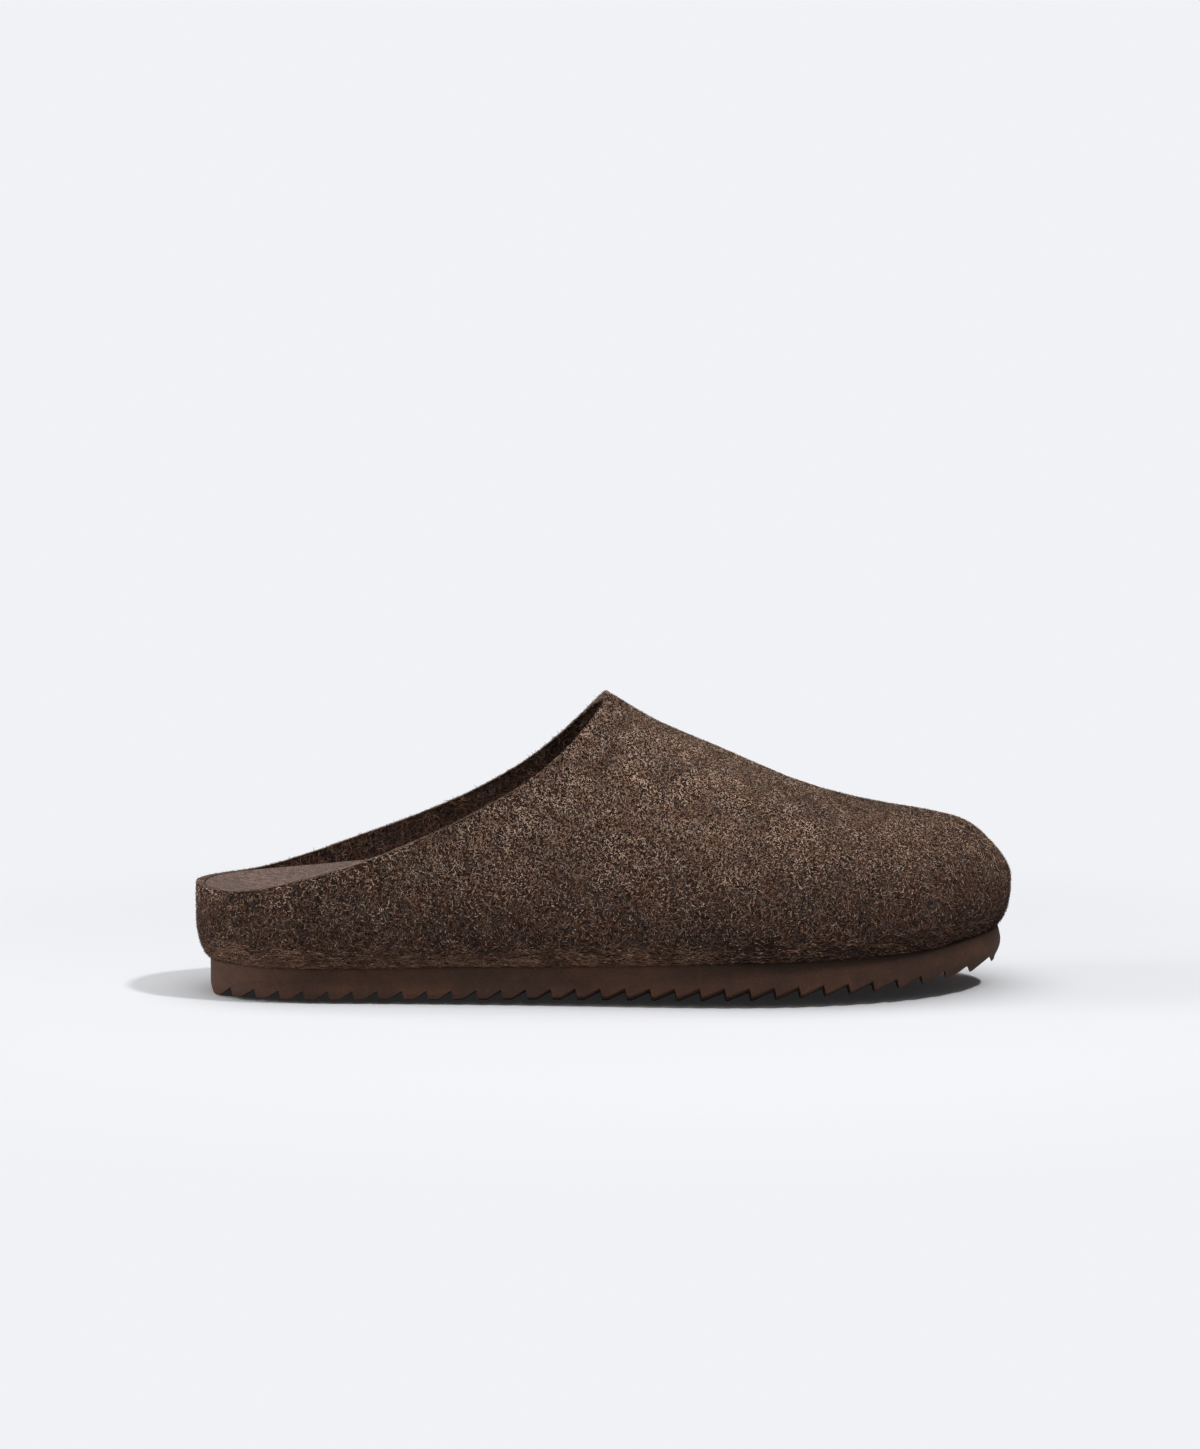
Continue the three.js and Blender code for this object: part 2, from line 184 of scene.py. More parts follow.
# Soft ridges and hollows pressed in by hand: place along the shoe, level up the wall,
# depth in millimetres and two half sizes
creases = [
    {"side": "outer", "at": 0.44, "level": 0.42, "depth": 0.7, "long": 0.09, "high": 0.3},
    {"side": "inner", "at": 0.42, "level": 0.4, "depth": 0.8, "long": 0.1, "high": 0.3},
    {"side": "outer", "at": 0.72, "level": 0.72, "depth": 0.35, "long": 0.035, "high": 0.4},
    {"side": "inner", "at": 0.74, "level": 0.7, "depth": 0.35, "long": 0.04, "high": 0.4},
    {"side": "outer", "at": 0.93, "level": 0.62, "depth": -0.45, "long": 0.03, "high": 0.3},
    {"side": "inner", "at": 0.94, "level": 0.6, "depth": -0.4, "long": 0.035, "high": 0.3},
    {"side": "outer", "at": 0.86, "level": 0.45, "depth": 0.35, "long": 0.035, "high": 0.35},
    {"side": "outer", "at": 0.12, "level": 0.3, "depth": 0.35, "long": 0.06, "high": 0.35},
]


def treadHeight(x):
    return outsole["toeSpring"] * max(spring(along(x)), 0)


def soleTop(x):
    heel, ball = heelPart(along(x)), ballPart(along(x))
    thickness = outsole["heel"] * heel + outsole["ball"] * ball + outsole["toe"] * (1 - heel - ball)
    return treadHeight(x) + thickness


def collarHeight(x, side="inner", depth=0, level=1):
    share = x / upper["collarFront"]
    height = lerp(shoe["heelHeight"], shoe["instepHeight"], collarRise(share))
    lean = upper["edgeLean"] * smoothstep(level, 0.1, 0.5)
    if side == "outer":
        height -= outerDip(share) * (1 - smoothstep(level, 0.95, 1))
    else:
        lean *= lerp(0.3, 1, smoothstep(level, 0.6, 0.95))
    return height - depth / upper["wall"] * lean


def crownHeight(x, depth):
    height = shoe["instepHeight"] * crown(along(x))
    slope = shoe["instepHeight"] * crown(along(x + 1)) - height
    return height - depth * math.hypot(1, slope)


def widestPoint(side, turn, inset):  # on the widest line, moved in square to it
    step = 1e-3
    before, after = max(turn - step, 0), min(turn + step, 1)
    width = sideSign[side] * shoe["ballWidth"]
    runX = shoe["length"] * (shareOf(after) - shareOf(before))
    runY = width * (widest[side](after) - widest[side](before))
    if turn < step or turn > 1 - step:
        runX = 0
    move = sideSign[side] * inset / math.hypot(runX, runY)
    return shoe["length"] * shareOf(turn) + runY * move, width * widest[side](turn) - runX * move


def polePoint(turn):
    x = min(max(shoe["length"] * shareOf(turn), shoe["heelPole"]), shoe["toePole"])
    return x, shoe["ballWidth"] * ridge(along(x))


# level runs from -2 at the edge under the insole, -1 at the start of the tuck,
# 0 at the widest line, to 1 at the top
def feltPoint(side, turn, level, depth):
    if level <= 0:
        angle = -math.pi / 2 * max(level, -1)
        flat = max(-1 - level, 0) * upper["lasting"]
        inset = depth + (upper["tuck"] - depth) * (1 - math.cos(angle)) + flat
        x, y = widestPoint(side, turn, inset)
        base = soleTop(x) + shoe["bond"] + depth
        return x, y, base + (upper["bellyRise"] - depth) * (1 - math.sin(angle))
    footX, footY = widestPoint(side, turn, depth)
    angle = level * math.pi / 2
    power = 2 / full(shareOf(turn))
    out = max(math.cos(angle), 0) ** power
    poleX, poleY = polePoint(turn)
    x, y = lerp(poleX, footX, out), lerp(poleY, footY, out)
    belly = soleTop(footX) + shoe["bond"] + upper["bellyRise"]
    return x, y, lerp(belly, crownHeight(x, depth), math.sin(angle) ** power)


def creaseDepth(side, share, level):
    pressed = 0
    for crease in creases:
        if crease["side"] == side:
            off = math.hypot(
                (share - crease["at"]) / crease["long"],
                (level - crease["level"]) / crease["high"],
            )
            pressed += crease["depth"] * math.exp(-off * off)
    return pressed


def feltSkinPoint(side, turn, level, depth):  # the outer skin swells and dips a little
    if depth or level <= -1:
        return feltPoint(side, turn, level, depth)
    point = Vector(feltPoint(side, turn, level, 0))
    spot = point / upper["swellSize"]
    swell = noise.noise(spot) + 0.5 * noise.noise(spot * 2.3)
    fade = smoothstep(level, -1, -0.3)
    top = 1 - smoothstep(abs(level), 0.9, 1) * 0.6
    pressed = creaseDepth(side, shareOf(turn), level) * (1 - smoothstep(level, 0.8, 1))
    return feltPoint(side, turn, level, (pressed - upper["swell"] * swell) * fade * top)


def collarFrontAt(depth):
    def aboveCrown(x):
        return collarHeight(x, depth=depth) - crownHeight(x, depth)

    return crossing(shoe["heelPole"], shoe["length"], aboveCrown)


def feltColumn(side, column, depth, front):
    split = turnOf(along(upper["collarFront"]) + 0.03)
    topLevel = 1
    if column < upper["collarSteps"]:
        t = column / upper["collarSteps"]
        footTurn = split * t
        topTurn = turnOf(along(front * (1 - (1 - t * t) ** 2)))

        def aboveCollar(level):
            x, _, z = feltPoint(side, topTurn, level, depth)
            return z - collarHeight(x, side, depth, level)

        topLevel = crossing(0, 1, aboveCollar)
    else:
        t = (column - upper["collarSteps"]) / upper["vampSteps"]
        footTurn = lerp(split, 1, t)
        topTurn = lerp(turnOf(along(front)), 1, t)
    rows = [feltPoint(side, footTurn, -2, depth), feltPoint(side, footTurn, -1.5, depth)]
    for i in range(upper["tuckRows"]):
        rows.append(feltSkinPoint(side, footTurn, i / upper["tuckRows"] - 1, depth))
    for i in range(upper["wallRows"] + 1):
        t = i / upper["wallRows"]
        rows.append(feltSkinPoint(side, lerp(footTurn, topTurn, t), topLevel * t, depth))
    return rows


def ringOf(steps, makeColumn):  # up the outer side to the toe and back along the inner side
    outer = [makeColumn("outer", i) for i in range(steps + 1)]
    inner = [makeColumn("inner", i) for i in range(steps - 1, 0, -1)]
    return np.array(outer + inner)


def quadsOf(columns, rows, start=0):
    here = [start + i * rows for i in range(columns)]
    return [
        (a + j, b + j, b + j + 1, a + j + 1)
        for a, b in zip(here, [*here[1:], here[0]])
        for j in range(rows - 1)
    ]


def widestSpan():
    turns = [i / 2000 for i in range(2001)]
    return [max(widest[side](turn) for turn in turns) for side in ("inner", "outer")]


innerSpan, outerSpan = widestSpan()
centre = np.array([shoe["length"] / 2, (innerSpan - outerSpan) / 2 * shoe["ballWidth"], 0])


def newObject(name, data):
    made = bpy.data.objects.new(name, data)
    bpy.context.scene.collection.objects.link(made)
    return made


def newPiece(name, vertices, faces, attributes=None):  # vertices in shoe millimetres
    mesh = bpy.data.meshes.new(name)
    mesh.from_pydata(((np.asarray(vertices) - centre) * mm).tolist(), [], faces)
    for label, values in (attributes or {}).items():
        values = np.asarray(values, np.float32)
        kind = "FLOAT_VECTOR" if values.ndim == 2 else "FLOAT"
        layer = mesh.attributes.new(label, kind, "POINT")
        layer.data.foreach_set("vector" if values.ndim == 2 else "value", values.ravel())
    shell = bmesh.new()
    shell.from_mesh(mesh)
    bmesh.ops.remove_doubles(shell, verts=shell.verts, dist=1e-6)
    loose = [point for point in shell.verts if not point.link_faces]
    bmesh.ops.delete(shell, geom=loose, context="VERTS")
    bmesh.ops.recalc_face_normals(shell, faces=shell.faces)
    shell.to_mesh(mesh)
    shell.free()
    mesh.shade_smooth()
    return newObject(name, mesh)


def wearEdge(outside, inside, fromFront):  # the cut collar, with its corners worn down
    worn = upper["edgeRound"] * np.clip(fromFront / 4, 0, 1)  # the front point stays crisp
    outside[:, -1, 2] -= worn
    inside[:, -1, 2] -= worn
    rows = []
    for j in range(1, upper["edgeRows"]):
        t = j / upper["edgeRows"]
        row = lerp(outside[:, -1], inside[:, -1], t)
        row[:, 2] += worn * (1 - abs(2 * t - 1) ** 3)
        rows.append(row)
    return np.stack([outside[:, -1], *rows, inside[:, -1]], axis=1)


napZones = {  # what the nap and the felt's finish follow, in millimetres where not said
    "seam": 1,  # where the hem starts above the sole
    "hemHeight": 13,  # the shaded band
    "hemThin": 0.7,  # share of the nap that is missing there
    "edgingHeight": 7.5,  # the band of long hairs
    "edgingFade": (0.56, 0.12),  # where it thins out toward the toe and over what length, in shoe lengths; the thinning is painted shade under the tucked felt
    "insideFrom": 0.45,  # share of the wall's height
    "insideNap": 0.8,
    "insideReach": 12,  # past the collar's front point
    "grainFrom": (24, 36),  # height where the light specks start, and how soon all are there; more specks higher up is partly painted light from above
    "leastGrain": 0.12,
    "toe": (190, 60),  # where the felt gets plainer, and over what length
    "toePlain": 0.45,
    "collarBand": 5,  # where fibres lie along the collar
}


def feltFields(parts, fromFront):
    outside, inside, edge, under = parts
    columns, rows = outside.shape[:2]
    zones = napZones

    def joined(fields):
        return np.concatenate([field.ravel() for field in fields])

    places = joined(part[..., 0] for part in parts)
    height = joined(part[..., 2] for part in parts)
    base = np.array([soleTop(x) for x in places])
    aboveSole = height - base - zones["seam"]
    trimmed = np.repeat(fromFront >= 0, edge.shape[1]).astype(float)
    cut = joined([np.zeros(2 * columns * rows), trimmed, np.zeros(under[..., 0].size)])
    skin = joined(np.full(part[..., 0].size, flag) for part, flag in zip(parts, (1, 0, 0, 0)))
    fadeAt, fadeOver = zones["edgingFade"]
    # the long light hairs thin out toward the toe, where the tucked felt lies in shade: painted shade
    forward = np.clip((along(places) - fadeAt) / fadeOver, 0, 1)
    hem = np.clip(1 - aboveSole / zones["hemHeight"], 0, 1) ** 1.4 * skin
    edging = np.clip(1 - aboveSole / zones["edgingHeight"], 0, 1) ** 0.6
    edging *= skin * (1 - 0.8 * forward)
    wall = np.linspace(0, 1, rows)
    cover = np.tile(np.where(np.arange(rows) < 4, 0, 1.0), columns)
    seen = inside[..., 0].ravel() < upper["collarFront"] + zones["insideReach"]
    lining = np.where(wall > zones["insideFrom"], zones["insideNap"], 0)
    insideCover = np.tile(lining, columns) * seen
    bare = [np.zeros(edge[..., 0].size), np.zeros(under[..., 0].size)]
    nap = joined([cover, insideCover, *bare])
    # light specks grow thicker up the wall: partly the felt's own specks, partly painted light from
    # above
    grainAt, grainOver = zones["grainFrom"]
    grain = np.clip((height - grainAt) / grainOver, zones["leastGrain"], 1) * nap * skin
    toeAt, toeOver = zones["toe"]
    grain *= 1 - zones["toePlain"] * np.clip((places - toeAt) / toeOver, 0, 1)
    nap *= 1 - zones["hemThin"] * hem
    far = np.where(fromFront < 0, 100, 0)[:, None]
    belowRim = joined(part[:, -1:, 2] - part[..., 2] + far for part in parts)
    atCollar = np.clip(1 - belowRim / zones["collarBand"], 0, 1)
    comb = np.maximum(np.clip(hem * 2.2, 0, 1), atCollar)  # fibres there lie along the edge
    nap *= 1 - np.clip(atCollar * 2.6 - 1.6, 0, 1)
    shadow = hem * (1 - 0.75 * edging)
    lay = joined(np.roll(part, -1, 0) - np.roll(part, 1, 0) for part in parts).reshape(-1, 3)
    lay /= np.maximum(np.linalg.norm(lay, axis=1, keepdims=True), 1e-9)
    fields = {"nap": nap, "grain": grain, "edging": edging, "shadow": shadow}
    return fields | {"cut": cut, "comb": comb, "lay": lay}


def makeUpper():
    steps = upper["collarSteps"] + upper["vampSteps"]

    def skinAt(depth):
        front = collarFrontAt(depth)
        return ringOf(steps, lambda side, i: feltColumn(side, i, depth, front))

    outside, inside = skinAt(0), skinAt(upper["wall"])
    columns, rows = outside.shape[:2]
    fromFront = np.array([upper["collarSteps"] - min(i, columns - i) for i in range(columns)])
    edge = wearEdge(outside, inside, fromFront)
    under = np.stack([inside[:, 0], outside[:, 0]], axis=1)

    parts = [outside, inside, edge, under]
    starts = np.cumsum([0] + [part.shape[0] * part.shape[1] for part in parts])
    faces = quadsOf(columns, rows, starts[0])
    faces += [face[::-1] for face in quadsOf(columns, rows, starts[1])]
    edgeQuads = quadsOf(columns, edge.shape[1], starts[2])
    perColumn = edge.shape[1] - 1
    gaping = [fromFront[i] >= 0 and fromFront[(i + 1) % columns] >= 0 for i in range(columns)]
    faces += [face for n, face in enumerate(edgeQuads) if gaping[n // perColumn]]
    faces += quadsOf(columns, 2, starts[3])
    vertices = np.concatenate([part.reshape(-1, 3) for part in parts])
    return newPiece("feltUpper", vertices, faces, feltFields(parts, fromFront))


feltUpper = makeUpper()
print("felt upper:", len(feltUpper.data.polygons), "faces")

# The insole

insole = {
    "heelSeat": 33.5,  # floor to the bottom of the heel cup
    "cup": 2.2,  # how steeply the cup rises to the rim
    "rimRound": 0.5,
    "steps": 96,
    "wallRows": 9,
    "cupRows": 22,
    "unevenness": 0.16,
}

insoleTable = {  # heights as shares of the heel seat: along the middle and at the two walls
    "at": [0, 0.12, 0.24, 0.38, 0.5, 0.6, 0.7, 0.8, 0.9, 1],
    "seat": [1, 1, 0.99, 0.94, 0.84, 0.75, 0.72, 0.73, 0.78, 0.83],
    "inner": [1.15, 1.18, 1.26, 1.27, 1.08, 0.91, 0.83, 0.83, 0.89, 0.96],
    "outer": [1.15, 1.165, 1.15, 1.08, 0.95, 0.85, 0.81, 0.82, 0.88, 0.96],
}
seat = curve(insoleTable, "seat")
rimHeight = {side: curve(insoleTable, side) for side in sideSign}


def insoleColumn(side, step):
    turn = step / insole["steps"]
    depth = upper["wall"] + shoe["bond"]
    middle = polePoint(turn)
    boss = widestPoint(side, turn, upper["tuck"] + upper["lasting"] + shoe["bond"])

    def belowRim(level):
        x, _, z = feltPoint(side, turn, level, depth)
        return z - insole["heelSeat"] * rimHeight[side](along(x))

    rimLevel = crossing(-1, 1, belowRim)
    rim = Vector(feltPoint(side, turn, rimLevel, depth))
    middleTop = Vector((*middle, insole["heelSeat"] * seat(along(middle[0]))))

    def cupPoint(t):
        point = middleTop.lerp(rim, t)
        point.z = lerp(middleTop.z, rim.z, t ** insole["cup"])
        return point

    levels = [lerp(-1, rimLevel, i / insole["wallRows"]) for i in range(insole["wallRows"] + 1)]
    wall = [Vector(feltPoint(side, turn, level, depth)) for level in levels]
    # the rim is rounded over between the wall and the cup
    reach = max((rim - middleTop).length, 1e-3)
    start = 1 - min(insole["rimRound"] / reach, 0.5)
    onCup = cupPoint(start)
    below = Vector((rim.x, rim.y, rim.z - insole["rimRound"]))
    wall = [point for point in wall if point.z < below.z - 0.05]
    while len(wall) < insole["wallRows"] + 1:
        wall.append(below.copy())
    over = [below.lerp(rim, t).lerp(rim.lerp(onCup, t), t) for t in (0.2, 0.4, 0.6, 0.8)]
    cup = [cupPoint(start * (1 - i / insole["cupRows"])) for i in range(insole["cupRows"] + 1)]
    for i, point in enumerate(cup):
        fade = smoothstep(i, 0, 4)
        point.z += insole["unevenness"] * fade * noise.noise(Vector((point.x, point.y, 3)) / 14)
    foot, bossFoot = (soleTop(x) + shoe["bond"] for x in (middle[0], boss[0]))
    under = [(*middle, foot), (*boss, bossFoot), (*boss, bossFoot + depth)]
    return [tuple(point) for point in (*under, *wall, *over, *cup)]


def makeInsole():
    ring = ringOf(insole["steps"], insoleColumn)
    columns, rows = ring.shape[:2]
    rim = np.tile(np.exp(-((np.arange(rows) - insole["wallRows"] - 5) / 3.0) ** 2), columns)
    return newPiece("suedeInsole", ring.reshape(-1, 3), quadsOf(columns, rows), {"rim": rim})


suedeInsole = makeInsole()
print("insole:", len(suedeInsole.data.polygons), "faces")

# The outsole

soleSide = {  # from the tread up; inset in millimetres, bumper as a share of the toe's swell
    "at": [0, 0.06, 0.14, 0.3, 0.42, 0.55, 0.74, 0.92, 0.97, 1],
    "inset": [1.3, 0.9, 0.62, 0.05, 0, 0, 0, 0, 0.06, 0.25],
    "bumper": [0, 0, 0, 0.4, 0.8, 1, 0.75, 0.3, 0.15, 0],
    "rows": [
        *(0, 0.03, 0.06, 0.1, 0.14, 0.22, 0.3, 0.36, 0.42),
        *(0.48, 0.55, 0.64, 0.74, 0.83, 0.92, 0.96, 0.985, 1),
    ],
}
treadStrips = (-1.2, -1, -0.9, -0.8, -0.65, -0.5, 0.5, 0.65, 0.8, 0.9, 1, 1.2)  # half widths
sideInset, sideBumper = curve(soleSide, "inset"), curve(soleSide, "bumper")


def soleColumn(side, step):
    turn = step / outsole["steps"]
    swell = outsole["toeBumper"] * smoothstep(shareOf(turn), 0.8, 1)
    middle = polePoint(turn)

    def pointAt(place, up):
        return (*place, lerp(treadHeight(place[0]) - 1, soleTop(place[0]), up))

    column = [pointAt(middle, 0)]
    for up in soleSide["rows"]:
        inset = outsole["margin"] + sideInset(up) - swell * sideBumper(up)
        column.append(pointAt(widestPoint(side, turn, inset), up))
    column.append(pointAt(widestPoint(side, turn, upper["tuck"] + upper["lasting"]), 1))
    return [*column, pointAt(middle, 1)]


def treadLine():  # each tooth has a flat foot, a ramp and a steep face, with its corners eased
    first = outsole["margin"] + 0.1 * outsole["heelLand"]
    teeth = int((shoe["length"] - outsole["margin"] - first) / outsole["pitch"])
    ease, deep = outsole["cornerRound"], outsole["toothDepth"]
    line = [(-outsole["pitch"], 0)]
    for i in range(teeth):
        foot = first + i * outsole["pitch"]
        land = lerp(outsole["heelLand"], outsole["toeLand"], smoothstep(along(foot), 0.35, 0.65))
        root = foot + outsole["pitch"] - outsole["slant"]
        line += [(foot - ease * 0.3, ease * 0.9), (foot + ease * 0.6, 0), (foot + land - ease, 0)]
        line += [(foot + land + ease, ease * 0.5), (root - ease * 1.4, deep - ease * 0.6)]
        line += [(root - ease * 0.2, deep - ease * 0.1), (root + ease * 0.5, deep - ease * 1.3)]
    end = first + teeth * outsole["pitch"]
    return [*line, (end, 0), (shoe["length"] + outsole["pitch"], 0)]


def treadComb():  # what the mould leaves out below the tread
    line = treadLine()
    strips = []
    for across in treadStrips:
        side = "inner" if across > 0 else "outer"
        top = []
        for x, rise in line:
            edge = shoe["ballWidth"] * widest[side](turnOf(along(x))) - outsole["margin"]
            curl = max(abs(across) - outsole["liftFrom"], 0) / (1 - outsole["liftFrom"])
            up = outsole["edgeLift"] * max(lift(along(x)), 0) * curl * curl
            top.append((x, across * max(edge, shoe["ballWidth"] / 5), treadHeight(x) + up + rise))
        bottom = [(x, y, -2 * outsole["toothDepth"]) for x, y, _ in reversed(top)]
        strips.append(top + bottom)
    count, ring = len(strips), len(strips[0])
    faces = [
        (a + j, a + (j + 1) % ring, a + ring + (j + 1) % ring, a + ring + j)
        for a in range(0, (count - 1) * ring, ring)
        for j in range(ring)
    ]
    for start, turned in ((0, 1), ((count - 1) * ring, -1)):
        for j in range(ring // 2 - 1):
            end = start + ring - 1 - j
            faces.append((start + j, start + j + 1, end - 1, end)[::turned])
    return newPiece("treadComb", [point for strip in strips for point in strip], faces)


def makeOutsole():
    ring = ringOf(outsole["steps"], soleColumn)
    sole = newPiece("rubberOutsole", ring.reshape(-1, 3), quadsOf(*ring.shape[:2]))
    comb = treadComb()
    cut = sole.modifiers.new("tread", "BOOLEAN")
    cut.operation = "DIFFERENCE"
    cut.solver = "EXACT"
    cut.object = comb
    evaluated = sole.evaluated_get(bpy.context.evaluated_depsgraph_get())
    mesh = bpy.data.meshes.new_from_object(evaluated)
    sole.modifiers.remove(cut)
    old, sole.data = sole.data, mesh
    bpy.data.meshes.remove(old)
    bpy.data.objects.remove(comb)
    mesh.name = "rubberOutsole"
    shade = mesh.attributes.new("shade", "FLOAT", "POINT")
    for vertex, under in zip(mesh.vertices, shade.data):
        x = vertex.co.x / mm + centre[0]
        below = max(soleTop(x) - vertex.co.z / mm, 0)
        forward = smoothstep(along(x), 0.56, 0.7)
        under.value = math.exp(-(below / outsole["shadeDrop"]) ** 2) * forward
    mesh.shade_smooth()
    mesh.set_sharp_from_angle(angle=math.radians(28))
    return sole


rubberOutsole = makeOutsole()
print("outsole:", len(rubberOutsole.data.polygons), "faces")

# Finishes

felt = {
    "mid": (0.075, 0.043, 0.030),
    # dark serves the dark fibres, and also the painted shade in the pits and along the hem
    "dark": (0.014, 0.008, 0.006),
    "light": (0.26, 0.165, 0.12),
    "rust": (0.125, 0.052, 0.033),
    "slate": (0.060, 0.052, 0.060),
    "fibre": (4.0, 0.42),  # length and width of a streak, millimetres
    "patch": 17,
    "bump": 0.4,
    "cut": (0.21, 0.142, 0.112),  # where the felt was trimmed
}

suede = {
    "colour": (0.205, 0.140, 0.118),
    "dark": (0.120, 0.078, 0.062),
    "light": (0.31, 0.225, 0.19),
    "cool": (0.172, 0.127, 0.116),
    "rim": (0.25, 0.165, 0.13),
    "grain": 0.6,
    "bump": 0.16,
}

rubber = {
    "colour": (0.086, 0.0440, 0.0285),
    "warm": (0.124, 0.0600, 0.0370),
    "cool": (0.072, 0.0410, 0.0305),
    "scuff": (0.145, 0.082, 0.056),
    "shaded": (0.022, 0.0125, 0.0090),
    "grain": 0.5,
    "bump": 0.05,
    "roughness": 0.66,
}


def newMaterial(name):
    material = bpy.data.materials.new(name)
    material.use_nodes = True
    material.node_tree.nodes.clear()
    return material, material.node_tree


def add(tree, kind, inputs=None, **settings):  # inputs by name or number: values or sockets
    node = tree.nodes.new(kind)
    for key, value in settings.items():
        setattr(node, key, value)
    for key, value in (inputs or {}).items():
        if isinstance(value, bpy.types.NodeSocket):
            tree.links.new(value, node.inputs[key])
        else:
            node.inputs[key].default_value = value
    return node


def maths(tree, operation, a, b=0.0):
    return add(tree, "ShaderNodeMath", {0: a, 1: b}, operation=operation).outputs[0]


def ramp(tree, value, low, high, toLow=0.0, toHigh=1.0):
    inputs = {"Value": value, "From Min": low, "From Max": high, "To Min": toLow, "To Max": toHigh}
    return add(tree, "ShaderNodeMapRange", inputs, interpolation_type="SMOOTHSTEP").outputs[0]


def blendColour(tree, factor, a, b, mode="MIX"):
    def filled(value):
        return (*value, 1) if isinstance(value, tuple) else value

    inputs = {0: factor, 6: filled(a), 7: filled(b)}
    return add(tree, "ShaderNodeMix", inputs, data_type="RGBA", blend_type=mode).outputs[2]


def ownPlace(tree):
    return add(tree, "ShaderNodeTexCoord").outputs["Object"]


def painted(tree, name):  # a value kept in the mesh
    return add(tree, "ShaderNodeAttribute", attribute_name=name).outputs["Fac"]


def spots(tree, place, size, detail=2.0, offset=0.0):  # soft noise, with size in millimetres
    shift = (offset, offset * 0.7, -offset)
    moved = add(tree, "ShaderNodeMapping", {"Vector": place, "Location": shift})
    inputs = {"Vector": moved.outputs[0], "Scale": 1000 / size, "Detail": detail}
    return add(tree, "ShaderNodeTexNoise", inputs).outputs["Fac"]


def streaks(tree, place, turn, length, width, offset=0.0):  # noise drawn out along one direction
    placing = {"Vector": place, "Rotation": turn, "Location": (offset, 0, offset)}
    turned = add(tree, "ShaderNodeMapping", placing)
    drawnOut = {"Vector": turned.outputs[0], "Scale": (width / length, 1, 1)}
    stretch = add(tree, "ShaderNodeMapping", drawnOut)
    inputs = {"Vector": stretch.outputs[0], "Scale": 1000 / width, "Detail": 1.5, "Distortion": 0.6}
    return add(tree, "ShaderNodeTexNoise", inputs).outputs["Fac"]


def finish(material, tree, colour, roughness, height, distance, gloss):
    relief = {"Height": height, "Distance": distance * mm, "Strength": 1.0}
    bump = add(tree, "ShaderNodeBump", relief)
    inputs = {"Base Color": colour, "Roughness": roughness, "Specular IOR Level": gloss}
    shader = add(tree, "ShaderNodeBsdfPrincipled", inputs | {"Normal": bump.outputs[0]})
    add(tree, "ShaderNodeOutputMaterial", {"Surface": shader.outputs[0]})
    return material


def toned(tree, colour, noise, low, high):  # a colour made darker and lighter by a noise
    shade = ramp(tree, noise, 0.3, 0.7, low, high)
    tone = add(tree, "ShaderNodeCombineColor", {0: shade, 1: shade, 2: shade}).outputs[0]
    return blendColour(tree, 1.0, colour, tone, "MULTIPLY")


def feltMaterial():
    material, tree = newMaterial("heatheredFelt")
    place = ownPlace(tree)
    length, width = felt["fibre"]
    turns = [(0.2, 0.1, 0.3), (0.9, 0.4, 1.3), (-0.7, 1.1, 2.2)]
    turns += [(0.3, -0.9, -0.8), (1.4, 0.2, 0.6), (0, 0.05, 1.57)]
    lines = [streaks(tree, place, turn, length, width, 0.013 * i) for i, turn in enumerate(turns)]

    def strongest(a, b, c):
        return maths(tree, "MAXIMUM", maths(tree, "MAXIMUM", a, b), c)

    bright, deep = strongest(*lines[:3]), strongest(*lines[3:])
    lightMask = ramp(tree, bright, 0.60, 0.74)
    darkMask = ramp(tree, deep, 0.56, 0.70)
    # painted shade: the felt is darkened in the hollows of a fine noise, which the bump below also
    # sinks
    pitShade = ramp(tree, spots(tree, place, 1.1, 3, 0.02), 0.5, 0.36)
    speck = spots(tree, place, 0.5, 2, 0.05)
    cut = painted(tree, "cut")
    grain = painted(tree, "grain")
    rustMask = ramp(tree, spots(tree, place, felt["patch"], 3, 0.4), 0.48, 0.68, 0, 0.7)
    slateMask = ramp(tree, spots(tree, place, felt["patch"] * 0.8, 3, 0.9), 0.52, 0.70, 0, 0.7)

    colour = blendColour(tree, rustMask, felt["mid"], felt["rust"])
    colour = blendColour(tree, slateMask, colour, felt["slate"])
    colour = blendColour(tree, maths(tree, "MULTIPLY", darkMask, 0.85), colour, felt["dark"])
    # painted shade in the pits
    colour = blendColour(tree, maths(tree, "MULTIPLY", pitShade, 0.8), colour, felt["dark"])
    colour = blendColour(tree, maths(tree, "MULTIPLY", lightMask, 0.55), colour, felt["light"])
    # light specks, thicker higher up: partly the felt's own, partly painted light from above
    raised = ramp(tree, speck, 0.52, 0.66, 0, 0.6)
    colour = blendColour(tree, maths(tree, "MULTIPLY", raised, grain), colour, felt["light"])
    colour = blendColour(tree, maths(tree, "MULTIPLY", cut, 0.85), colour, felt["cut"])
    shadow = painted(tree, "shadow")
    colour = blendColour(tree, maths(tree, "MULTIPLY", shadow, 0.55), colour, felt["dark"])
    colour = toned(tree, colour, speck, 0.62, 1.35)

    height = maths(tree, "SUBTRACT", lightMask, maths(tree, "MULTIPLY", darkMask, 0.6))
    height = maths(tree, "SUBTRACT", height, maths(tree, "MULTIPLY", pitShade, 0.9))
    height = maths(tree, "ADD", height, maths(tree, "MULTIPLY", speck, 0.8))
    return finish(material, tree, colour, 0.95, height, felt["bump"], 0.1)


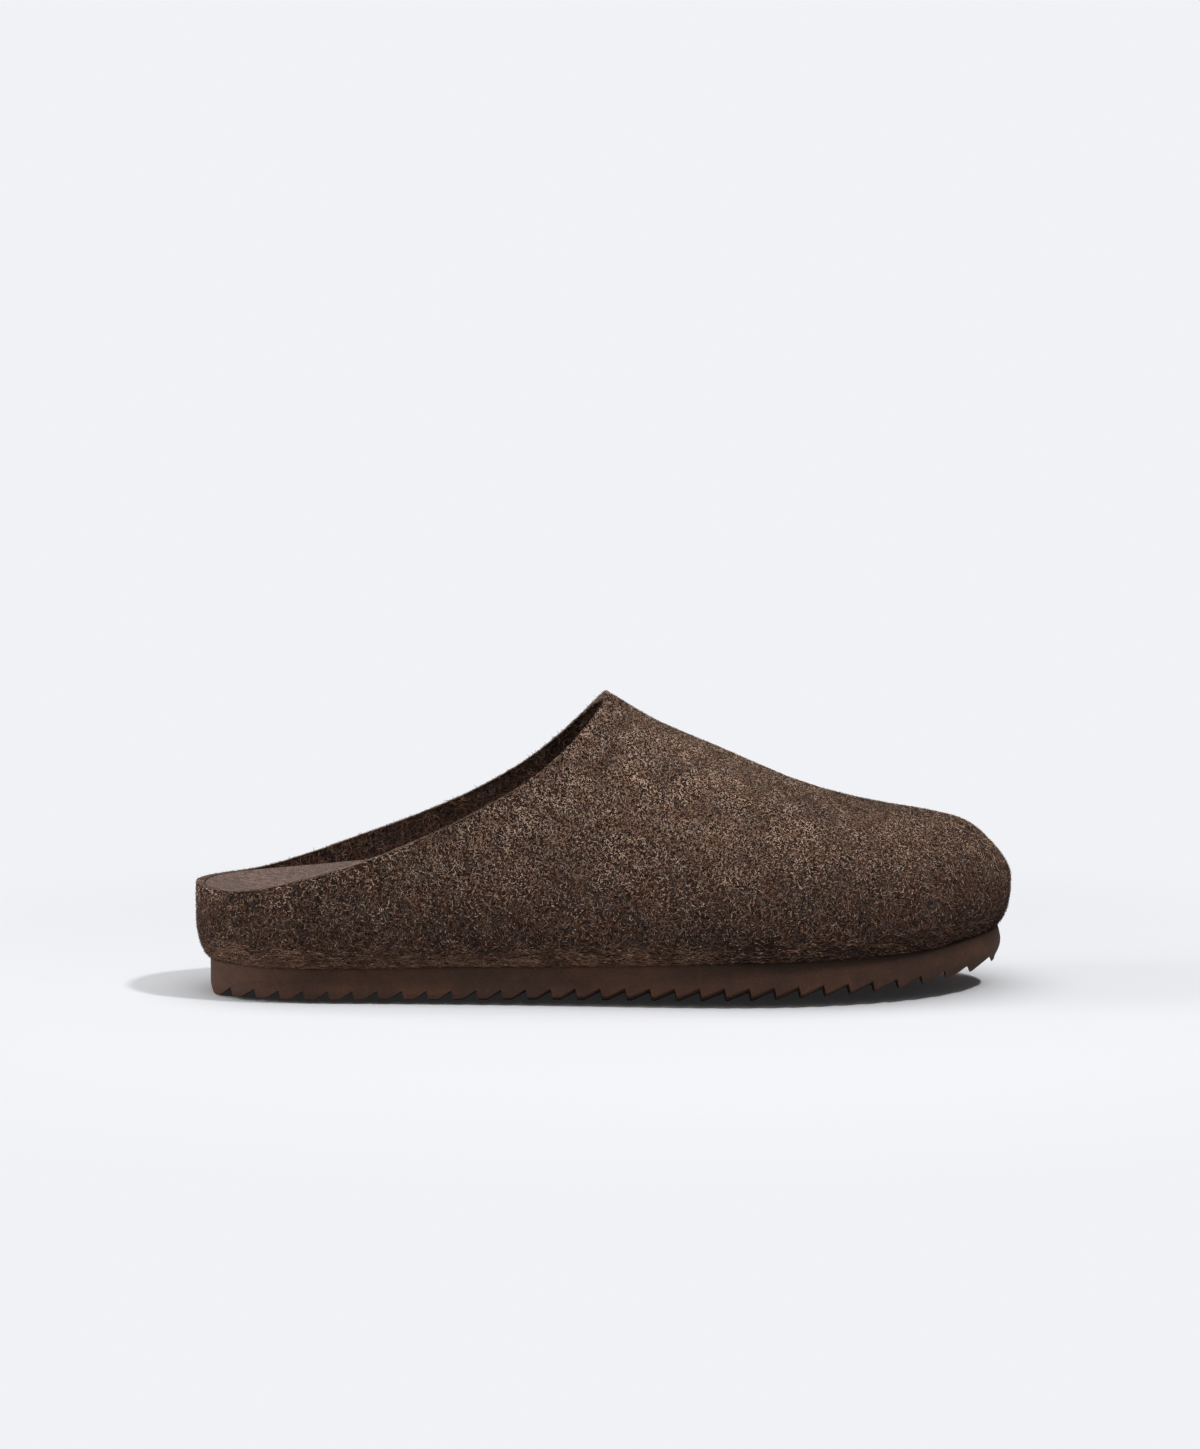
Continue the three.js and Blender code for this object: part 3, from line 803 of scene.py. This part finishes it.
def suedeMaterial():
    material, tree = newMaterial("brushedSuede")
    place = ownPlace(tree)
    grain = spots(tree, place, suede["grain"], 3, 0.1)
    coarse = spots(tree, place, 2.6, 3, 0.3)
    brushed = streaks(tree, place, (0, 0, 0.1), 2.6, 1.0, 0.2)
    patch = spots(tree, place, 30, 2, 0.6)
    rim = painted(tree, "rim")
    worn = ramp(tree, coarse, 0.4, 0.66, 0, 0.7)
    colour = blendColour(tree, worn, suede["colour"], suede["dark"])
    colour = blendColour(tree, ramp(tree, brushed, 0.48, 0.66, 0, 0.6), colour, suede["light"])
    colour = blendColour(tree, ramp(tree, patch, 0.42, 0.62, 0, 0.65), colour, suede["cool"])
    colour = blendColour(tree, maths(tree, "MULTIPLY", rim, 0.7), colour, suede["rim"])
    colour = toned(tree, colour, grain, 0.54, 1.40)
    height = maths(tree, "ADD", grain, maths(tree, "MULTIPLY", coarse, 0.7))
    roughness = ramp(tree, coarse, 0.3, 0.7, 0.84, 0.96)
    return finish(material, tree, colour, roughness, height, suede["bump"], 0.12)


def rubberMaterial():
    material, tree = newMaterial("mattRubber")
    place = ownPlace(tree)
    cloud = spots(tree, place, 15, 3, 0.2)
    wipe = streaks(tree, place, (0, 0.04, 0), 30, 2.6, 0.1)
    grain = spots(tree, place, rubber["grain"], 2, 0.5)
    scuff = ramp(tree, spots(tree, place, 2.6, 4, 0.7), 0.56, 0.78, 0, 0.35)
    colour = blendColour(tree, ramp(tree, cloud, 0.38, 0.62), rubber["colour"], rubber["warm"])
    colour = blendColour(tree, ramp(tree, wipe, 0.48, 0.72, 0, 0.5), colour, rubber["cool"])
    colour = blendColour(tree, scuff, colour, rubber["scuff"])
    colour = toned(tree, colour, grain, 0.86, 1.14)
    shade = painted(tree, "shade")
    colour = blendColour(tree, maths(tree, "MULTIPLY", shade, 0.75), colour, rubber["shaded"])
    roughness = ramp(tree, cloud, 0.3, 0.7, rubber["roughness"] - 0.06, rubber["roughness"] + 0.1)
    height = maths(tree, "ADD", grain, maths(tree, "MULTIPLY", cloud, 2.0))
    return finish(material, tree, colour, roughness, height, rubber["bump"], 0.22)


for piece, makeMaterial in (
    (feltUpper, feltMaterial),
    (suedeInsole, suedeMaterial),
    (rubberOutsole, rubberMaterial),
):
    piece.data.materials.clear()
    piece.data.materials.append(makeMaterial())
print("materials made")

# The nap: loose wool fibres scattered over the felt

# The shapes that fibres are picked from: millimetres, with bend and tip as shares of the length
strands = {
    "curls": [
        {"length": 2.2, "bend": 0.5, "tip": 0.05},
        {"length": 2.8, "bend": -0.35, "tip": 0.07},
        {"length": 3.4, "bend": 0.9, "tip": 0.04},
        {"length": 3.0, "bend": 0.15, "tip": 0.08},
        {"length": 4.2, "bend": -0.7, "tip": 0.05},
        {"length": 1.6, "bend": 0.25, "tip": 0.1},
    ],
    "hairs": [
        {"length": 6.5, "bend": 0.22, "tip": 0.03},
        {"length": 8.5, "bend": -0.18, "tip": 0.025},
        {"length": 5.0, "bend": 0.4, "tip": 0.05},
        {"length": 7.0, "bend": -0.35, "tip": 0.04},
    ],
    "specks": [
        {"length": 0.7, "bend": 0.6, "tip": 0.1},
        {"length": 1.1, "bend": -0.5, "tip": 0.06},
        {"length": 0.5, "bend": 0.2, "tip": 0.12},
    ],
    "width": {"curls": 0.2, "hairs": 0.17, "specks": 0.29},
    "segments": {"curls": 3, "hairs": 3, "specks": 1},
    "float": {"curls": 0.06, "hairs": 0.1, "specks": 0.13},  # how far a fibre lies above the felt
    "pickSeed": 77,
}

# For each kind of fibre: two colours, fibres for each square millimetre, where they grow,
# how many degrees they stand off the felt, how closely they follow the hem and the collar,
# and their sizes
napLayers = [
    {"name": "napDark", "colours": [(0.018, 0.010, 0.007), (0.038, 0.028, 0.029)], "density": 0.55,
     "shape": "curls", "where": "nap", "tilt": 5, "comb": 0.92, "size": (0.6, 1.25), "seed": 3},
    {"name": "napBrown", "colours": [(0.150, 0.083, 0.053), (0.178, 0.079, 0.048)], "density": 0.65,
     "shape": "curls", "where": "nap", "tilt": 6, "comb": 0.94, "size": (0.6, 1.25), "seed": 11},
    {"name": "napTan", "colours": [(0.38, 0.255, 0.180), (0.35, 0.205, 0.138)], "density": 0.38,
     "shape": "curls", "where": "nap", "tilt": 8, "comb": 0.94, "size": (0.5, 1.1), "seed": 23},
    {"name": "napSlate", "colours": [(0.155, 0.138, 0.146), (0.08, 0.066, 0.070)], "density": 0.10,
     "shape": "curls", "where": "nap", "tilt": 5, "comb": 0.92, "size": (0.6, 1.2), "seed": 31},
    # bright specks, thicker higher up the felt: partly the felt's own specks, partly painted light
    # from above
    {"name": "napSpecks", "colours": [(0.78, 0.555, 0.415), (0.50, 0.31, 0.210)], "density": 2.0,
     "shape": "specks", "where": "grain", "tilt": 14, "comb": 0.9, "size": (0.65, 1.2), "seed": 59},
    # near-black specks among the light ones stand for the shade in the felt's hollows: painted shade
    {"name": "napPits", "colours": [(0.012, 0.007, 0.005), (0.02, 0.013, 0.012)], "density": 1.2,
     "shape": "specks", "where": "grain", "tilt": 4, "comb": 0.9, "size": (0.65, 1.3), "seed": 61},
    {"name": "hemShadows", "colours": [(0.030, 0.017, 0.011), (0.055, 0.030, 0.020)], "density": 0.85,
     "shape": "hairs", "where": "shadow", "tilt": 3, "comb": 0.94, "size": (0.6, 1.1), "seed": 53},
    {"name": "hemHairs", "colours": [(0.38, 0.215, 0.136), (0.22, 0.115, 0.072)], "density": 0.95,
     "shape": "hairs", "where": "edging", "tilt": 4, "comb": 0.88, "size": (0.5, 1.05), "seed": 47},
    {"name": "hemWisps", "colours": [(0.40, 0.235, 0.150), (0.26, 0.140, 0.088)], "density": 0.18,
     "shape": "hairs", "where": "edging", "tilt": 5, "comb": 0.6, "size": (0.5, 0.95), "seed": 67},
    {"name": "collarFuzz", "colours": [(0.36, 0.25, 0.195), (0.21, 0.130, 0.095)], "density": 2.2,
     "shape": "specks", "where": "cut", "tilt": 6, "comb": 0.85, "size": (0.7, 1.5), "seed": 71},
    {"name": "napWisps", "colours": [(0.34, 0.22, 0.155), (0.17, 0.110, 0.085)], "density": 0.12,
     "shape": "curls", "where": "nap", "tilt": 24, "comb": 0.9, "size": (0.3, 0.65), "seed": 83},
]


def strandShape(kind, number, look):
    steps = strands["segments"][kind]
    vertices, faces = [], []
    for i in range(steps + 1):
        t = i / steps - 0.5
        x = look["length"] * t
        y = look["length"] * look["bend"] * (t * t * 2 - 0.17)
        z = strands["float"][kind] + look["length"] * look["tip"] * 4 * t * t
        narrow = 1 - 2.4 * t * t if steps > 1 else 0.8
        square = Vector((-4 * look["bend"] * t, 1)).normalized()
        across = square * strands["width"][kind] / 2 * narrow
        vertices += [(x - across.x, y - across.y, z), (x + across.x, y + across.y, z)]
    for i in range(steps):
        a = 2 * i
        faces.append((a, a + 2, a + 3, a + 1))
    mesh = bpy.data.meshes.new(f"{kind}{number}")
    mesh.from_pydata([[value * mm for value in point] for point in vertices], [], faces)
    mesh.shade_smooth()
    return bpy.data.objects.new(mesh.name, mesh)


def strandGroup(kind):
    group = bpy.data.collections.new(kind)
    for number, look in enumerate(strands[kind]):
        group.objects.link(strandShape(kind, number, look))
    return group


def scatterTree():  # fibres on a surface, laid along "lay" where the hem asks for it
    tree = bpy.data.node_groups.new("scatterFibres", "GeometryNodeTree")
    sockets = {}
    for name, kind, start in (
        ("Surface", "NodeSocketObject", None),
        ("Strands", "NodeSocketCollection", None),
        ("Where", "NodeSocketString", "nap"),
        ("Density", "NodeSocketFloat", 1e5),
        ("Tilt", "NodeSocketFloat", 0.1),
        ("Comb", "NodeSocketFloat", 0.8),
        ("Smallest", "NodeSocketFloat", 0.6),
        ("Largest", "NodeSocketFloat", 1.2),
        ("Seed", "NodeSocketInt", 1),
        ("Fibre", "NodeSocketMaterial", None),
    ):
        socket = tree.interface.new_socket(name=name, in_out="INPUT", socket_type=kind)
        if start is not None:
            socket.default_value = start
        sockets[name] = socket.identifier
    tree.interface.new_socket(name="Fibres", in_out="OUTPUT", socket_type="NodeSocketGeometry")
    given = tree.nodes.new("NodeGroupInput").outputs

    def made(kind, inputs, output=0, **settings):
        return add(tree, kind, inputs, **settings).outputs[output]

    def attribute(name, kind="FLOAT"):
        return made("GeometryNodeInputNamedAttribute", {"Name": name}, data_type=kind)

    def chance(low, high, shift):
        own = made("FunctionNodeIntegerMath", {0: given["Seed"], 1: shift}, operation="ADD")
        return made("FunctionNodeRandomValue", {"Seed": own, 2: low, 3: high}, 1, data_type="FLOAT")

    def turned(rotation, x=0.0, y=0.0, z=0.0):
        angles = made("ShaderNodeCombineXYZ", {0: x, 1: y, 2: z})
        by = made("FunctionNodeEulerToRotation", {0: angles})
        return made("FunctionNodeRotateRotation", {0: rotation, 1: by}, rotation_space="LOCAL")

    surface = made("GeometryNodeObjectInfo", {"Object": given["Surface"]}, "Geometry")
    dense = maths(tree, "MULTIPLY", attribute(given["Where"]), given["Density"])
    onSkin = {"Mesh": surface, "Density": dense, "Seed": given["Seed"]}
    scatter = add(tree, "GeometryNodeDistributePointsOnFaces", onSkin)
    outward = {"Vector": scatter.outputs["Normal"]}
    upright = made("FunctionNodeAlignRotationToVector", outward, axis="Z")
    alongLay = {"Rotation": upright, "Vector": attribute("lay", "FLOAT_VECTOR")}
    laid = made("FunctionNodeAlignRotationToVector", alongLay, axis="X", pivot_axis="Z")
    combed = maths(tree, "MULTIPLY", attribute("comb"), given["Comb"])
    loose = maths(tree, "MULTIPLY", maths(tree, "SUBTRACT", 1.0, combed), math.pi)
    spun = turned(laid, z=maths(tree, "MULTIPLY", chance(-1.0, 1.0, 1), loose))
    lean = [maths(tree, "MULTIPLY", chance(-1.0, 1.0, shift), given["Tilt"]) for shift in (2, 3)]
    tilted = turned(spun, x=lean[0], y=lean[1])

    ownShapes = {"Collection": given["Strands"], "Separate Children": True, "Reset Children": True}
    shapes = made("GeometryNodeCollectionInfo", ownShapes)
    last = len(strands["curls"]) - 1  # a shorter list starts again
    picking = {"Seed": strands["pickSeed"], 4: 0, 5: last}
    pick = made("FunctionNodeRandomValue", picking, 2, data_type="INT")
    across = made("ShaderNodeSeparateXYZ", {0: made("GeometryNodeInputPosition", {})}, 1)
    inner = maths(tree, "GREATER_THAN", across)
    side = {"Geometry": scatter.outputs["Points"], "Name": "flank", "Value": inner}
    marked = made("GeometryNodeStoreNamedAttribute", side, data_type="FLOAT", domain="POINT")
    fibres = {"Points": marked, "Instance": shapes, "Pick Instance": True, "Instance Index": pick}
    fibres |= {"Rotation": tilted, "Scale": chance(given["Smallest"], given["Largest"], 4)}
    placed = made("GeometryNodeInstanceOnPoints", fibres)
    real = made("GeometryNodeRealizeInstances", {"Geometry": placed})

    # a flat map, one half for each side of the shoe, shared by fibres of the same place
    spot = add(tree, "ShaderNodeSeparateXYZ", {0: made("GeometryNodeInputPosition", {})}).outputs
    u = maths(tree, "ADD", maths(tree, "MULTIPLY", spot[0], 3.3), 0.5)
    v = maths(tree, "ADD", maths(tree, "MULTIPLY", spot[2], 8.8), attribute("flank"))
    v = maths(tree, "MULTIPLY", v, 0.5)
    flat = {"Geometry": real, "Name": "OFBake", "Value": made("ShaderNodeCombineXYZ", {0: u, 1: v})}
    mapped = made("GeometryNodeStoreNamedAttribute", flat, data_type="FLOAT2", domain="CORNER")
    dressed = made("GeometryNodeSetMaterial", {"Geometry": mapped, "Material": given["Fibre"]})
    output = tree.nodes.new("NodeGroupOutput")
    tree.links.new(dressed, output.inputs[0])
    return tree, sockets


def fibreMaterial(name, colours):
    material, tree = newMaterial(name)
    place = ownPlace(tree)
    first, second = colours
    patches = ramp(tree, spots(tree, place, 5.5, 3, first[0]), 0.44, 0.6)
    mixed = blendColour(tree, patches, first, second)
    mixed = toned(tree, mixed, spots(tree, place, 12, 2, second[0]), 0.72, 1.3)
    inputs = {"Base Color": mixed, "Roughness": 0.8, "Specular IOR Level": 0.12}
    shader = add(tree, "ShaderNodeBsdfPrincipled", inputs)
    add(tree, "ShaderNodeOutputMaterial", {"Surface": shader.outputs[0]})
    return material


def makeNap():
    tree, sockets = scatterTree()
    groups = {kind: strandGroup(kind) for kind in ("curls", "hairs", "specks")}
    thin = 1
    pieces = []
    for layer in napLayers:
        piece = newObject(layer["name"], bpy.data.meshes.new(layer["name"]))
        scatter = piece.modifiers.new("fibres", "NODES")
        scatter.node_group = tree
        values = {
            "Surface": feltUpper,
            "Strands": groups[layer["shape"]],
            "Where": layer["where"],
            "Density": layer["density"] * 1e6 * thin,
            "Tilt": math.radians(layer["tilt"]),
            "Comb": layer["comb"],
            "Smallest": layer["size"][0],
            "Largest": layer["size"][1],
            "Seed": layer["seed"],
            "Fibre": fibreMaterial(layer["name"], layer["colours"]),
        }
        for name, value in values.items():
            scatter[sockets[name]] = value
        evaluated = piece.evaluated_get(bpy.context.evaluated_depsgraph_get())
        mesh = bpy.data.meshes.new_from_object(evaluated)
        piece.modifiers.remove(scatter)
        piece.data = mesh
        mesh.name = layer["name"]
        for label in ("nap", "edging", "shadow", "cut", "grain", "comb", "lay", "flank"):
            if label in mesh.attributes:
                mesh.attributes.remove(mesh.attributes[label])
        print(layer["name"] + ":", len(mesh.polygons) * 2, "triangles")
        pieces.append(piece)
    return pieces


napPieces = makeNap()

# What each piece stands for

for piece, node, slot in (
    (feltUpper, "upper", "felt"),
    (suedeInsole, "insole", "footbed"),
    (rubberOutsole, "outsole", "rubber"),
):
    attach(piece, "root")
    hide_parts(node)
for piece in napPieces:
    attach(piece, "root")

# The studio

studio = {
    "floor": (0.928, 0.938, 0.968),
    "bounce": 0.52,  # how much of its light the floor sends back to the shoe
    "floorGlow": 0.018,  # lifts the shadows, as a lit table does
    "backdrop": (0.880, 0.888, 0.921),  # what the camera sees behind the floor
    "dome": 0.06,  # strength of the even light from all sides
    "sky": (0.95, 0.97, 1),
    "aim": 0.03,  # height that the lights point at
    "lights": [
        {"name": "ceiling", "at": (-0.1, 0.0, 1.9), "size": 2.2, "power": 19.5},
        {"name": "key", "at": (0.9, -0.6, 1.65), "size": 0.18, "power": 15},
        {"name": "front", "at": (0.3, -1.4, 1.4), "size": 1.0, "power": 2.2},
        {"name": "heelFill", "at": (-1.4, -0.15, 0.4), "size": 0.7, "power": 9},
    ],
    "floorFade": (0.18, 0.38),  # metres from the shoe where the floor turns into the backdrop
}


def makeFloor():
    shell = bmesh.new()
    bmesh.ops.create_circle(shell, cap_ends=True, segments=96, radius=14)
    mesh = bpy.data.meshes.new("paleFloor")
    shell.to_mesh(mesh)
    shell.free()
    floor = newObject("paleFloor", mesh)
    material, tree = newMaterial("palePaint")
    place = ownPlace(tree)
    away = add(tree, "ShaderNodeVectorMath", {0: place}, operation="LENGTH").outputs["Value"]
    far = ramp(tree, away, *studio["floorFade"])
    seen = add(tree, "ShaderNodeLightPath").outputs["Is Camera Ray"]
    dull = tuple(value * studio["bounce"] for value in studio["floor"])
    tone = blendColour(tree, seen, dull, studio["floor"])
    paint = add(tree, "ShaderNodeBsdfDiffuse", {"Color": tone})
    lifted = {"Color": (*studio["backdrop"], 1), "Strength": studio["floorGlow"]}
    faint = add(tree, "ShaderNodeEmission", lifted)
    near = add(tree, "ShaderNodeAddShader", {0: paint.outputs[0], 1: faint.outputs[0]})
    distant = blendColour(tree, seen, dull, studio["backdrop"])
    glow = add(tree, "ShaderNodeEmission", {"Color": distant})
    mix = add(tree, "ShaderNodeMixShader", {0: far, 1: near.outputs[0], 2: glow.outputs[0]})
    add(tree, "ShaderNodeOutputMaterial", {"Surface": mix.outputs[0]})
    mesh.materials.append(material)


def makeLight(look):
    data = bpy.data.lights.new(look["name"], "AREA")
    data.shape = "DISK"
    data.size = look["size"]
    data.energy = look["power"]
    light = newObject(look["name"], data)
    light.location = look["at"]
    toShoe = Vector((0, 0, studio["aim"])) - light.location
    light.rotation_euler = toShoe.to_track_quat("-Z", "Y").to_euler()


def makeDome():
    world = bpy.data.worlds.new("dome")
    bpy.context.scene.world = world
    world.use_nodes = True
    tree = world.node_tree
    tree.nodes.clear()
    seen = add(tree, "ShaderNodeLightPath").outputs["Is Camera Ray"]
    sky = {"Color": (*studio["sky"], 1), "Strength": studio["dome"]}
    soft = add(tree, "ShaderNodeBackground", sky)
    back = add(tree, "ShaderNodeBackground", {"Color": (*studio["backdrop"], 1), "Strength": 1.0})
    mix = add(tree, "ShaderNodeMixShader", {0: seen, 1: soft.outputs[0], 2: back.outputs[0]})
    add(tree, "ShaderNodeOutputWorld", {"Surface": mix.outputs[0]})


def makeCamera():
    camera = {"at": (-0.0018, -1.9767, 0.3183), "pitch": 6.5, "focal": 5690, "frame": 1449}
    data = bpy.data.cameras.new("camera")
    data.lens = data.sensor_width * camera["focal"] / camera["frame"]
    data.clip_end = 60
    eye = newObject("camera", data)
    eye.location = camera["at"]
    eye.rotation_euler = (math.radians(90 - camera["pitch"]), 0, 0)
    bpy.context.scene.camera = eye


makeFloor()
makeDome()
for look in studio["lights"]:
    makeLight(look)
makeCamera()
bpy.context.scene.view_settings.view_transform = "Standard"
bpy.context.scene.cycles.denoising_prefilter = "NONE"  # keeps the fibres crisp
print("studio ready")
